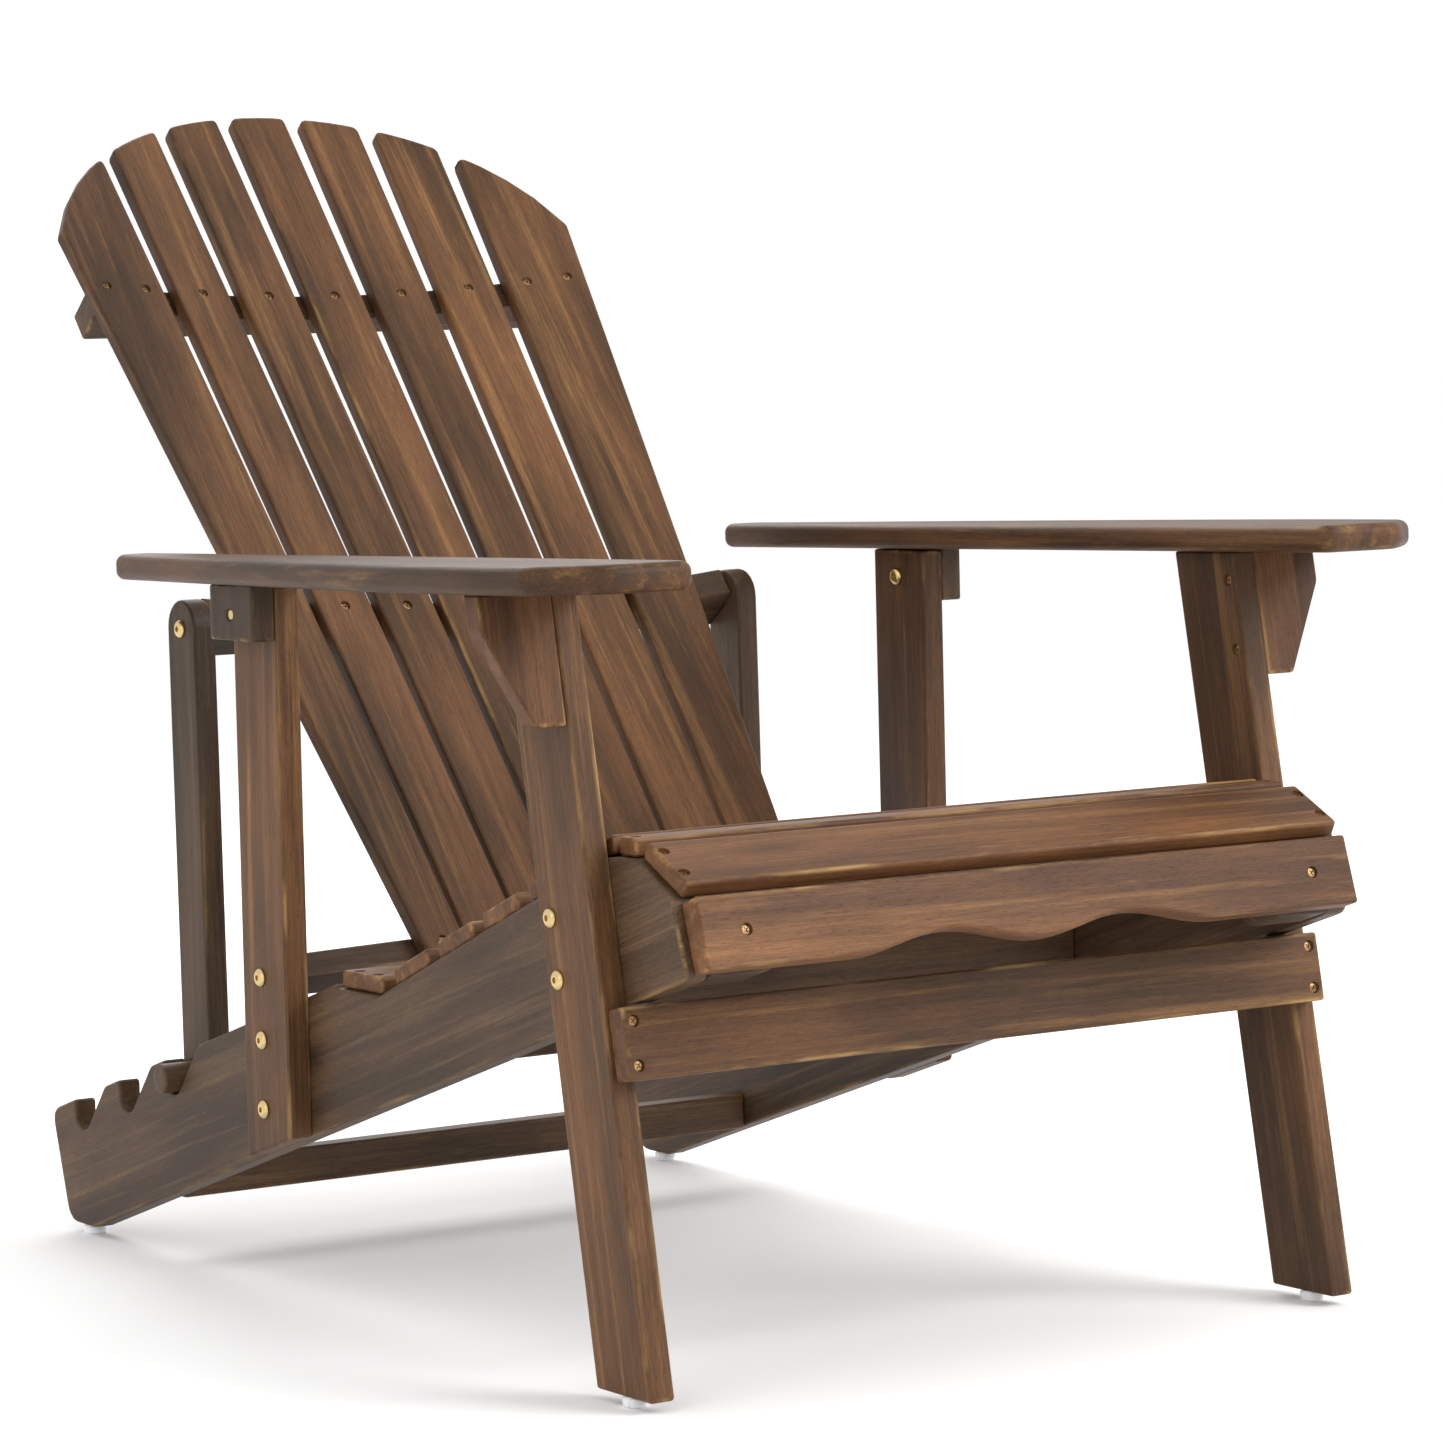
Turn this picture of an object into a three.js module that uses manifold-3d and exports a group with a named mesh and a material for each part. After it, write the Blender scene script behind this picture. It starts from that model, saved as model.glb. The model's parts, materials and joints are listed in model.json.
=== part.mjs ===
// Adirondack chair with a back that folds down over the seat. Every board, bolt and glide is its own solid.
// Millimetres. X runs across the chair, Y from the front to the rear and Z up from the floor.
// Y starts where the front plane of the legs meets the floor; the whole chair is centred at the end.
import * as THREE from 'three';
import { mergeVertices } from 'three/addons/utils/BufferGeometryUtils.js';
import Module from 'manifold-3d';

const wasm = await Module();
wasm.setup();
const degrees = THREE.MathUtils.degToRad;

// ---- Driving dimensions: stock and clearances ----
const GAP = 0.3;                  // left between pieces that touch
const BOARD = 20;                 // thickness of the frame boards
const SEAT_SLAT_THICKNESS = 14;
const BACK_SLAT_THICKNESS = 15;
const BOLT_RADIUS = 4;
const BOLT_HOLE_RADIUS = 4.7;
const BOLT_HEAD_RADIUS = 7.5;
const BOLT_HEAD_HEIGHT = 3.4;

// ---- Driving dimensions: frame ----
const RAIL_SPACING = 558.4;       // clear width between the two side rails
const GLIDE_HEIGHT = 8;
const GLIDE_RADIUS = 9.35;
const LEG_RAKE = Math.tan(degrees(10.64));
const LEG_WIDTH = 73.3;           // measured level
const LEG_BOLT_INSET = 50.5;      // from the front edge of the leg
const LEG_BOLT_RISES = [34, 81];  // above the underside of the side rail
const RAIL_PITCH = degrees(17.5);
const RAIL_FOOT_Y = 928;          // where the sloping underside meets the level foot
const RAIL_FRONT_Y = -28;
const RAIL_TAIL_Y = 974.5;        // rear end of the rail, at the foot
const POST_Y = 530;
const POST_WIDTH = 72;
const POST_BOLT_DROP = 25;        // below the top of the rail
const POST_BOLT_RISE = 32;        // above the underside of the rail
const ARM_HEIGHT = 582.2;         // underside of the armrest, carried forward to Y = 0
const ARM_FALL = 0.02;
const ARM_THICKNESS = 21;
const ARM_FRONT_Y = -28;
const ARM_LENGTH = 842;
const ARM_WIDTH = 122;
const ARM_TAIL_WIDTH = 37;
const ARM_BLOCK_HEIGHT = 45;
const ARM_BLOCK_BOLT_DROP = 24;
const CORBEL_HEIGHT = 96;
const CORBEL_REACH = 62;
const CORBEL_FOOT = 26;

// ---- Driving dimensions: seat ----
const SEAT_BACK_Z = 255.4;        // level ledge of the rail under the rearmost slat
const SEAT_BACK_Y = 419;
const SEAT_BACK_SLAT_WIDTH = 65;
const SEAT_PITCH = degrees(21.55);
const SEAT_FRONT_Z = 390;         // level top of the rail at the knee
const SEAT_KNEE_Y = 35.4;
const SEAT_NOSE_PITCH = degrees(26.4);
const SEAT_CROWN_RADIUS = 153;
const SEAT_SLAT_WIDTH = 56;
const SEAT_SLAT_OVERHANG = 15.3;  // past the inner face of each side rail
const SEAT_SLAT_FIRST_Y = 97;
const SEAT_SLAT_PITCH = 68.6;
const SEAT_SLAT_COUNT = 5;
const KNEE_SLAT_WIDTH = 24;
const APRON_HEIGHT = 53;
const APRON_LIFT = 2.7;
const APRON_ARCH_SPAN = 163;
const APRON_ARCH_RISE = 13;
const APRON_BLOCK_WIDTH = 57;
const APRON_BLOCK_DEPTH = 36;
const FRONT_RAIL_HEIGHT = 53;
const BRACE_Y = 296;
const BRACE_HEIGHT = 67;
const STRETCHER_Y = 795;
const STRETCHER_HEIGHT = 31;

// ---- Driving dimensions: back ----
const RECLINE = degrees(40.1);
const PIVOT_INSET = 41.4;         // from the front edge of the post
const PIVOT_RISE = 25;            // above the top of the rail
const BACK_FACE = 19.7;           // middle slat's face, in front of the pivot
const BACK_CURVE_RADIUS = 1300;
const BACK_APEX = 904.4;          // along the back, from the pivot
const BACK_FOOT = -38.8;
const BACK_SLAT_WIDTH = 53.8;
const BACK_SLAT_PITCH_FOOT = 56;
const BACK_SLAT_PITCH_APEX = 70;
const BACK_EDGE_FOOT = 183.5;     // outer edge of the outermost slats
const BACK_EDGE_SPREAD = 0.091;
const CROWN_HALF_WIDTH = 270.8;
const CROWN_DROP = 232;
const CROSS_RAIL_THICKNESS = 27;
const CROSS_RAIL_BACK = 18;
const UPPER_RAIL_AT = 690;
const UPPER_RAIL_HALF = 239;
const MIDDLE_RAIL_AT = 343;
const LOWER_RAIL_THICKNESS = 24;
const LOWER_RAIL_BACK = 14;
const LOWER_RAIL_END_FACE = 12;

// ---- Driving dimensions: prop ----
const PROP_PIVOT_AT = 336;        // along the back, from its own pivot
const PROP_PIVOT_FACE = 15;
const STRUT_WIDTH = 48;
const STRUT_CLEARANCE = 2.2;      // between strut and side rail
const DOWEL_RADIUS = 12.25;
const DOWEL_CLEARANCE = 0.45;     // around the dowel in each strut
const DOWEL_END = 12;             // past the inner side of the post
const NOTCH_CLEARANCE = 1.75;
const NOTCH_COUNT = 3;
const NOTCH_FIRST_Y = 771;
const NOTCH_FIRST_Z = 154;
const NOTCH_STEP = [86, -24.65];
const NOTCH_RAMP = degrees(221);  // where the front ramp leaves the round of the notch

// ---- Places that follow from the dimensions ----
const railInner = RAIL_SPACING / 2;
const railOuter = railInner + BOARD;
const legInner = railOuter + GAP;
const legOuter = legInner + BOARD;
const blockInner = legOuter + GAP;
const postRearY = POST_Y + POST_WIDTH;
const seatLedgeRearY = SEAT_BACK_Y + SEAT_BACK_SLAT_WIDTH;
const railBottom = (y) => GLIDE_HEIGHT + Math.tan(RAIL_PITCH) * (RAIL_FOOT_Y - y);
const armUnderside = (y) => ARM_HEIGHT - ARM_FALL * y;
const legFront = (z) => LEG_RAKE * z;
const notchRadius = DOWEL_RADIUS + NOTCH_CLEARANCE;
const lastNotch = NOTCH_COUNT - 1;
const tailTip = [NOTCH_FIRST_Y + lastNotch * NOTCH_STEP[0] + notchRadius,
  NOTCH_FIRST_Z + lastNotch * NOTCH_STEP[1] + 10.5];
const ledgeStep = [seatLedgeRearY + 3, SEAT_BACK_Z + 3];
const railTopSlope = (ledgeStep[1] - tailTip[1]) / (tailTip[0] - ledgeStep[0]);
const railTop = (y) => tailTip[1] + railTopSlope * (tailTip[0] - y);
const pivotY = POST_Y + PIVOT_INSET;
const pivotZ = railTop(pivotY) + PIVOT_RISE;
const alongRail = [Math.cos(RAIL_PITCH), -Math.sin(RAIL_PITCH)];
const squareToRail = [Math.sin(RAIL_PITCH), Math.cos(RAIL_PITCH)];

// ---- Finishes ----
const wood = (colour) => new THREE.MeshStandardMaterial({ color: colour, roughness: 0.55, metalness: 0 });
const brownWood = () => wood(0x6b4a35);
const redWood = () => wood(0x744b35);
const greyWood = () => wood(0x5c4a3c);
const brass = () => new THREE.MeshStandardMaterial({ color: 0xc79a4a, roughness: 0.3, metalness: 1 });
const plastic = () => new THREE.MeshStandardMaterial({ color: 0xe8e8e6, roughness: 0.5, metalness: 0 });

// ---- Outlines ----
const arcPoints = (centre, radius, from, to, steps) => Array.from({ length: steps + 1 }, (_, i) => {
  const angle = from + (to - from) * i / steps;
  return [centre[0] + radius * Math.cos(angle), centre[1] + radius * Math.sin(angle)];
});

const pathOf = (points, path) => {
  points.forEach(([u, v], i) => (i ? path.lineTo(u, v) : path.moveTo(u, v)));
  path.closePath();
  return path;
};

const roundHole = ([u, v, radius], steps = 12) =>
  pathOf(arcPoints([u, v], radius, 0, 2 * Math.PI * (1 - 1 / steps), steps - 1), new THREE.Path());

// A closed outline of [u, v, corner radius] points, with round holes of [u, v, radius].
function outline(points, holes = []) {
  const rounded = points.flatMap(([u, v, radius = 0], i) => {
    if (!radius) return [[u, v]];
    const corner = new THREE.Vector2(u, v);
    const before = new THREE.Vector2(...points.at(i - 1)).sub(corner);
    const after = new THREE.Vector2(...points[(i + 1) % points.length]).sub(corner);
    const halfAngle = Math.abs(before.angleTo(after)) / 2;
    const room = 0.48 * Math.min(before.length(), after.length());
    const setback = Math.min(radius / Math.tan(halfAngle), room);
    const start = corner.clone().addScaledVector(before.normalize(), setback);
    const end = corner.clone().addScaledVector(after.normalize(), setback);
    const bend = new THREE.QuadraticBezierCurve(start, corner, end);
    return bend.getPoints(radius > 8 ? 5 : 3).map((point) => point.toArray());
  });
  const shape = pathOf(rounded, new THREE.Shape());
  shape.holes = holes.map((hole) => roundHole(hole));
  return shape;
}

const rectangle = (u0, v0, u1, v1) => [[u0, v0], [u1, v0], [u1, v1], [u0, v1]];

// ---- Solids ----
const X = new THREE.Vector3(1, 0, 0);
const Y = new THREE.Vector3(0, 1, 0);
const Z = new THREE.Vector3(0, 0, 1);

// Extrudes a shape drawn on axes u and v along w; the axes may lean, to make an oblique board.
function board(name, material, shape, thickness, origin, u, v, w = u.clone().cross(v)) {
  const geometry = new THREE.ExtrudeGeometry(shape, { depth: thickness, bevelEnabled: false });
  geometry.applyMatrix4(new THREE.Matrix4().makeBasis(u, v, w));
  const mesh = new THREE.Mesh(geometry, material);
  mesh.name = name;
  mesh.position.set(...origin);
  return mesh;
}

// A board whose outline is seen from the side, between X = inner and X = inner + thickness on either side.
const sideBoard = (name, material, side, shape, inner, thickness = BOARD) =>
  board(name, material, shape, thickness, [side > 0 ? inner : -inner - thickness, 0, 0], Y, Z);

function toManifold(geometry) {
  const bare = geometry.clone();
  bare.deleteAttribute('normal');
  bare.deleteAttribute('uv');
  const merged = mergeVertices(bare, 1e-4);
  return new wasm.Manifold(new wasm.Mesh({
    numProp: 3,
    vertProperties: Float32Array.from(merged.attributes.position.array),
    triVerts: Uint32Array.from(merged.index.array),
  }));
}

function cut(mesh, cutters) {
  const blank = toManifold(mesh.geometry);
  const solid = cutters.reduce((body, cutter) => body.subtract(toManifold(cutter)), blank);
  const { vertProperties, triVerts } = solid.getMesh();
  const geometry = new THREE.BufferGeometry();
  geometry.setAttribute('position', new THREE.BufferAttribute(vertProperties, 3));
  geometry.setIndex(new THREE.BufferAttribute(triVerts, 1));
  geometry.computeVertexNormals();
  mesh.geometry = geometry;
  return mesh;
}

// A round rod along X.
function rod(radius, length, centre, segments) {
  const geometry = new THREE.CylinderGeometry(radius, radius, length, segments);
  geometry.rotateZ(Math.PI / 2);
  geometry.translate(...centre);
  return geometry;
}

// A bolt along X: domed head with a socket at the given X, shank running on in the given direction.
function bolt(name, [x, y, z], direction, shank) {
  const head = BOLT_HEAD_HEIGHT + GAP;
  const profile = [[0, -shank], [BOLT_RADIUS, -shank], [BOLT_RADIUS, GAP], [BOLT_HEAD_RADIUS, GAP],
    [BOLT_HEAD_RADIUS, GAP + 1.4], [BOLT_HEAD_RADIUS * 0.8, head - 0.5], [BOLT_HEAD_RADIUS * 0.4, head],
    [BOLT_HEAD_RADIUS * 0.33, head - 2.2], [0, head - 2.2]];
  const geometry = new THREE.LatheGeometry(profile.map((point) => new THREE.Vector2(...point)), 12);
  geometry.rotateZ(-direction * Math.PI / 2);
  const mesh = new THREE.Mesh(geometry, brass());
  mesh.name = name;
  mesh.position.set(x, y, z);
  return mesh;
}

const chair = new THREE.Group();
const sides = [['left', -1], ['right', 1]];

// ---- Side rails: seat line, ledge, straight top and three notches ----
const legBolts = LEG_BOLT_RISES.map((rise) => {
  const y = legFront(railBottom(0) + rise) + LEG_BOLT_INSET;
  return [y, railBottom(y) + rise];
});
const postBolts = [
  [pivotY, railTop(pivotY) - POST_BOLT_DROP],
  [pivotY, railBottom(pivotY) + POST_BOLT_RISE],
];
const boltHoles = (places) => places.map(([y, z]) => [y, z, BOLT_HOLE_RADIUS]);
const railEnd = [RAIL_FRONT_Y, railBottom(RAIL_FRONT_Y)];
const noseSlope = Math.tan(SEAT_NOSE_PITCH);
const endSlope = Math.tan(RAIL_PITCH);
const noseY = (railEnd[0] + endSlope * (SEAT_FRONT_Z - noseSlope * SEAT_KNEE_Y - railEnd[1]))
  / (1 - endSlope * noseSlope);
const seatCornerY = SEAT_BACK_Y - (SEAT_FRONT_Z - SEAT_BACK_Z) / Math.tan(SEAT_PITCH);

// Ramp, round floor and upright rear wall of one notch, ending at the tip of the tooth behind it.
function notchPoints(index) {
  const y = NOTCH_FIRST_Y + index * NOTCH_STEP[0];
  const z = NOTCH_FIRST_Z + index * NOTCH_STEP[1];
  const floor = arcPoints([y, z], notchRadius, NOTCH_RAMP, 2 * Math.PI, 7);
  const rampSlope = -Math.cos(NOTCH_RAMP) / Math.sin(NOTCH_RAMP);
  const climb = (railTop(floor[0][0]) - floor[0][1]) / (rampSlope + railTopSlope);
  const rampTop = [floor[0][0] + climb, railTop(floor[0][0] + climb), 12];
  const tip = [y + notchRadius, railTop(y + notchRadius), 4];
  return [rampTop, ...floor, tip];
}

const tailTopZ = (railTop(RAIL_TAIL_Y) + railTopSlope * endSlope * GLIDE_HEIGHT)
  / (1 + railTopSlope * endSlope);
const railOutline = outline([
  [railEnd[0], railEnd[1], 12],
  [RAIL_FOOT_Y, GLIDE_HEIGHT],
  [RAIL_TAIL_Y, GLIDE_HEIGHT, 20],
  [RAIL_TAIL_Y + endSlope * (tailTopZ - GLIDE_HEIGHT), tailTopZ, 14],
  ...Array.from({ length: NOTCH_COUNT }, (_, i) => notchPoints(lastNotch - i).reverse()).flat(),
  [ledgeStep[0], ledgeStep[1], 5],
  [seatLedgeRearY + 0.8, SEAT_BACK_Z],
  [SEAT_BACK_Y, SEAT_BACK_Z, 10],
  [seatCornerY, SEAT_FRONT_Z, SEAT_CROWN_RADIUS],
  [SEAT_KNEE_Y, SEAT_FRONT_Z],
  [noseY, railEnd[1] + (noseY - railEnd[0]) / endSlope],
], boltHoles([...legBolts, ...postBolts]));

// ---- Legs and posts, cut to the armrest above them ----
const legTopZ = (inset) => (ARM_HEIGHT - GAP - ARM_FALL * inset) / (1 + ARM_FALL * LEG_RAKE);
const legOutline = outline([
  [legFront(GLIDE_HEIGHT), GLIDE_HEIGHT],
  [legFront(GLIDE_HEIGHT) + LEG_WIDTH, GLIDE_HEIGHT],
  [legFront(legTopZ(LEG_WIDTH)) + LEG_WIDTH, legTopZ(LEG_WIDTH)],
  [legFront(legTopZ(0)), legTopZ(0)],
], boltHoles(legBolts));

const postTop = armUnderside(postRearY) - 0.8;
const blockBolt = [pivotY - 3, armUnderside(pivotY) - ARM_BLOCK_BOLT_DROP];
const postOutline = outline([
  [POST_Y, railBottom(POST_Y)],
  [postRearY, railBottom(postRearY)],
  [postRearY, postTop],
  [POST_Y, postTop],
], boltHoles([...postBolts, [pivotY, pivotZ], blockBolt]));

// ---- Blocks and corbels that carry the armrests ----
const blockTop = (y) => armUnderside(y) - GAP;
const rearBlockOutline = outline([
  [POST_Y, blockTop(POST_Y) - ARM_BLOCK_HEIGHT],
  [postRearY, blockTop(POST_Y) - ARM_BLOCK_HEIGHT],
  [postRearY, blockTop(postRearY)],
  [POST_Y, blockTop(POST_Y)],
], boltHoles([blockBolt]));

const corbelDepth = BOARD * Math.hypot(1, LEG_RAKE);
const corbelTop = blockTop(legFront(ARM_HEIGHT) + corbelDepth);
const corbelBottom = corbelTop - CORBEL_HEIGHT;
const frontBlockBottom = corbelTop - ARM_BLOCK_HEIGHT;
const behindCorbel = (z) => legFront(z) + corbelDepth + GAP;
const frontBlockOutline = outline([
  [behindCorbel(frontBlockBottom), frontBlockBottom],
  [legFront(frontBlockBottom) + LEG_WIDTH, frontBlockBottom],
  [legFront(legTopZ(LEG_WIDTH)) + LEG_WIDTH, legTopZ(LEG_WIDTH)],
  [behindCorbel(legTopZ(corbelDepth)), legTopZ(corbelDepth + GAP)],
]);

const leaningUp = new THREE.Vector3(0, LEG_RAKE, 1);
function corbel(name, side) {
  const shape = outline([
    [side * blockInner, corbelBottom],
    [side * (legOuter + CORBEL_FOOT), corbelBottom],
    [side * (legOuter + CORBEL_REACH), corbelTop - 26, 12],
    [side * (legOuter + CORBEL_REACH), corbelTop],
    [side * blockInner, corbelTop],
  ]);
  return board(name, redWood(), shape, corbelDepth, [0, corbelDepth, 0], X, leaningUp, Y.clone().negate());
}

// ---- Armrests: straight inner edge, bowed outer edge tapering to a narrow tail ----
const armInner = railInner + 2.8;
function armrest(name, side) {
  const bow = new THREE.CubicBezierCurve(
    new THREE.Vector2(armInner + ARM_WIDTH - 5, 40),
    new THREE.Vector2(armInner + ARM_WIDTH + 6, 200),
    new THREE.Vector2(armInner + ARM_WIDTH - 22, 420),
    new THREE.Vector2(armInner + ARM_TAIL_WIDTH, ARM_LENGTH));
  const bowPoints = bow.getPoints(16).slice(0, -1).map(({ x, y }) => [x, y]);
  const points = [
    [armInner, 0, 14],
    [armInner + ARM_WIDTH - 48, 0, 30],
    ...bowPoints.map(([x, y], i) => (i ? [x, y] : [x, y, 26])),
    [armInner + ARM_TAIL_WIDTH, ARM_LENGTH, 16],
    [armInner, ARM_LENGTH, 8],
  ];
  const shape = outline(points.map(([x, y, radius]) => [side * x, y, radius]));
  const rearward = new THREE.Vector3(0, 1, -ARM_FALL).normalize();
  const start = [0, ARM_FRONT_Y, armUnderside(ARM_FRONT_Y)];
  return board(name, brownWood(), shape, ARM_THICKNESS, start, X, rearward);
}

// ---- Cross boards of the frame ----
const acrossUp = (pitch) => new THREE.Vector3(0, Math.sin(pitch), Math.cos(pitch));
const railNormal = acrossUp(RAIL_PITCH);
const innerHalf = railInner - GAP;
const slatHalf = railInner + SEAT_SLAT_OVERHANG;

// Point at a distance up the front end of the rail and a distance in front of it.
const atRailEnd = (up, ahead) => [0,
  railEnd[0] + up * squareToRail[0] - ahead * alongRail[0],
  railEnd[1] + up * squareToRail[1] - ahead * alongRail[1]];

function apron() {
  const half = slatHalf - 1.5;
  const arch = Array.from({ length: 41 }, (_, i) => {
    const x = APRON_ARCH_SPAN * (i / 20 - 1);
    return [x, APRON_ARCH_RISE * Math.sin(Math.PI * x / APRON_ARCH_SPAN) ** 2];
  });
  const top = [[half, APRON_HEIGHT], [-half, APRON_HEIGHT]];
  const shape = outline([[-half, 0], ...arch, [half, 0], ...top]);
  return board('front_apron', redWood(), shape, BOARD, atRailEnd(APRON_LIFT, GAP), X, railNormal);
}

function apronBlock(name, side) {
  const outer = side * innerHalf;
  const inner = side * (innerHalf - APRON_BLOCK_WIDTH);
  const shape = outline([[outer, 1], [inner, 1, 14], [inner, BOARD * 2], [outer, BOARD * 2]]);
  return board(name, greyWood(), shape, APRON_BLOCK_DEPTH, atRailEnd(0, -APRON_BLOCK_DEPTH), X, railNormal);
}

function frontRail() {
  const half = legOuter - 3.5;
  const foot = railBottom(LEG_WIDTH / 2) - 5 - FRONT_RAIL_HEIGHT;
  const shape = outline(rectangle(-half, 0, half, FRONT_RAIL_HEIGHT));
  const up = acrossUp(Math.atan(LEG_RAKE));
  return board('front_rail', brownWood(), shape, BOARD, [0, legFront(foot) - GAP, foot], X, up);
}

// A level or sloping slat across the rails, drawn in section behind its front lower edge.
function slat(name, half, width, thickness, [y, z], pitch = 0, material = greyWood()) {
  const shape = outline(rectangle(0, 0, width, thickness));
  const rearward = new THREE.Vector3(0, Math.cos(pitch), -Math.sin(pitch));
  return board(name, material, shape, 2 * half, [-half, y, z], rearward, acrossUp(pitch));
}

// The slat rests on the rail where its middle touches the seat line.
function seatSlat(index) {
  const y = SEAT_SLAT_FIRST_Y + index * SEAT_SLAT_PITCH;
  const crownStart = seatCornerY - SEAT_CROWN_RADIUS * Math.tan(SEAT_PITCH / 2);
  const crownPitch = Math.asin(Math.max(0, y - crownStart) / SEAT_CROWN_RADIUS);
  const onCrown = crownPitch < SEAT_PITCH;
  const pitch = onCrown ? crownPitch : SEAT_PITCH;
  const z = onCrown ? SEAT_FRONT_Z - SEAT_CROWN_RADIUS * (1 - Math.cos(pitch))
    : SEAT_BACK_Z + Math.tan(SEAT_PITCH) * (SEAT_BACK_Y - y);
  const lift = 3 * GAP;
  const edge = [y - SEAT_SLAT_WIDTH / 2 * Math.cos(pitch) + lift * Math.sin(pitch),
    z + SEAT_SLAT_WIDTH / 2 * Math.sin(pitch) + lift * Math.cos(pitch)];
  return frameSlat(`seat_slat_${index + 3}`, SEAT_SLAT_WIDTH, edge, pitch);
}

function glide(name, x, y) {
  const profile = [[0, 0], [GLIDE_RADIUS - 1, 0], [GLIDE_RADIUS, 1], [GLIDE_RADIUS, GLIDE_HEIGHT - GAP],
    [0, GLIDE_HEIGHT - GAP]];
  const geometry = new THREE.LatheGeometry(profile.map((point) => new THREE.Vector2(...point)), 20);
  geometry.rotateX(Math.PI / 2);
  const mesh = new THREE.Mesh(geometry, plastic());
  mesh.name = name;
  mesh.position.set(x, y, 0);
  return mesh;
}

for (const [name, side] of sides) {
  chair.add(
    sideBoard(`${name}_side_rail`, greyWood(), side, railOutline, railInner),
    sideBoard(`${name}_front_leg`, brownWood(), side, legOutline, legInner),
    sideBoard(`${name}_rear_post`, brownWood(), side, postOutline, legInner),
    sideBoard(`${name}_rear_arm_block`, greyWood(), side, rearBlockOutline, blockInner),
    sideBoard(`${name}_front_arm_block`, greyWood(), side, frontBlockOutline, blockInner),
    corbel(`${name}_corbel`, side),
    armrest(`${name}_armrest`, side),
    apronBlock(`${name}_apron_block`, side),
    glide(`${name}_front_glide`, side * (legInner + BOARD / 2), legFront(GLIDE_HEIGHT) + LEG_WIDTH / 2),
    glide(`${name}_rear_glide`, side * (railInner + BOARD / 2), RAIL_TAIL_Y - 28),
  );
}
const noseEdge = [
  SEAT_KNEE_Y - SEAT_SLAT_WIDTH * Math.cos(SEAT_NOSE_PITCH) + GAP * Math.sin(SEAT_NOSE_PITCH),
  SEAT_FRONT_Z - SEAT_SLAT_WIDTH * Math.sin(SEAT_NOSE_PITCH) + GAP * Math.cos(SEAT_NOSE_PITCH)];
const kneeEdge = [SEAT_KNEE_Y + 7.6, SEAT_FRONT_Z + GAP];
const ledgeEdge = [SEAT_BACK_Y + 0.8, SEAT_BACK_Z + GAP];
const frameSlat = (name, width, edge, pitch) =>
  slat(name, slatHalf, width, SEAT_SLAT_THICKNESS, edge, pitch, redWood());
chair.add(
  apron(),
  frontRail(),
  frameSlat('seat_slat_1', SEAT_SLAT_WIDTH, noseEdge, -SEAT_NOSE_PITCH),
  frameSlat('seat_slat_2', KNEE_SLAT_WIDTH, kneeEdge),
  frameSlat(`seat_slat_${SEAT_SLAT_COUNT + 3}`, SEAT_BACK_SLAT_WIDTH - 1, ledgeEdge),
  slat('seat_brace', innerHalf, BOARD, BRACE_HEIGHT, [BRACE_Y, railBottom(BRACE_Y) + 8]),
  slat('rear_stretcher', innerHalf, BOARD, STRETCHER_HEIGHT, [STRETCHER_Y, railBottom(STRETCHER_Y) - 2]),
);
for (let i = 0; i < SEAT_SLAT_COUNT; i += 1) chair.add(seatSlat(i));

// ---- Back: drawn upright about its pivot, then reclined ----
const back = new THREE.Group();
back.position.set(0, pivotY, pivotZ);
back.rotation.x = -RECLINE;
chair.add(back);

const backSlatPitch = (along) => BACK_SLAT_PITCH_FOOT
  + (BACK_SLAT_PITCH_APEX - BACK_SLAT_PITCH_FOOT) * (along - BACK_FOOT) / (BACK_APEX - BACK_FOOT);
const backOuterEdge = (along) => BACK_EDGE_FOOT + BACK_EDGE_SPREAD * (along - BACK_FOOT);
const crownAt = (x) => BACK_APEX - CROWN_DROP * (1 - Math.sqrt(1 - (x / CROWN_HALF_WIDTH) ** 2));
const curveRise = (x) => x ** 2 / (2 * BACK_CURVE_RADIUS);

// Edges, middle and facing plane of one of the seven slats, counted from the middle outwards.
function backSlatLayout(index) {
  const place = Math.abs(index);
  const side = Math.sign(index) || 1;
  const inner = (along) => place * backSlatPitch(along) - BACK_SLAT_WIDTH / 2;
  const outer = (along) => (place === 3 ? backOuterEdge(along) : inner(along) + BACK_SLAT_WIDTH);
  const middle = (along) => side * (inner(along) + outer(along)) / 2;
  const low = middle(0);
  const high = middle(UPPER_RAIL_AT);
  const tilt = (low + high) / 2 / BACK_CURVE_RADIUS;
  const lean = (curveRise(high) - curveRise(low) - tilt * (high - low)) / UPPER_RAIL_AT;
  const base = curveRise(low) - tilt * low;
  const rearFace = (x, along) => BACK_FACE - BACK_SLAT_THICKNESS + base + tilt * x + lean * along;
  return { side, inner, outer, tilt, lean, base, rearFace };
}

function meetCrown(edge) {
  let along = BACK_APEX;
  for (let i = 0; i < 12; i += 1) along = crownAt(edge(along));
  return [edge(along), along];
}

function backSlat(index) {
  const { side, inner, outer, tilt, lean, base } = backSlatLayout(index);
  const [x0, along0] = meetCrown(inner);
  const [x1, along1] = meetCrown(outer);
  const crown = [0.75, 0.5, 0.25].map((share) => x0 + (x1 - x0) * share).map((x) => [x, crownAt(x)]);
  const points = [[inner(BACK_FOOT), BACK_FOOT], [outer(BACK_FOOT), BACK_FOOT],
    [x1, along1, 9], ...crown, [x0, along0, 9]];
  const shape = outline(points.map(([x, along, radius]) => [side * x, along, radius]));
  const across = new THREE.Vector3(1, -tilt, 0);
  const along = new THREE.Vector3(0, -lean, 1);
  return board(`back_slat_${index + 4}`, brownWood(), shape, BACK_SLAT_THICKNESS,
    [0, BACK_SLAT_THICKNESS - BACK_FACE - base, 0], across, along, Y.clone().negate());
}

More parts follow.
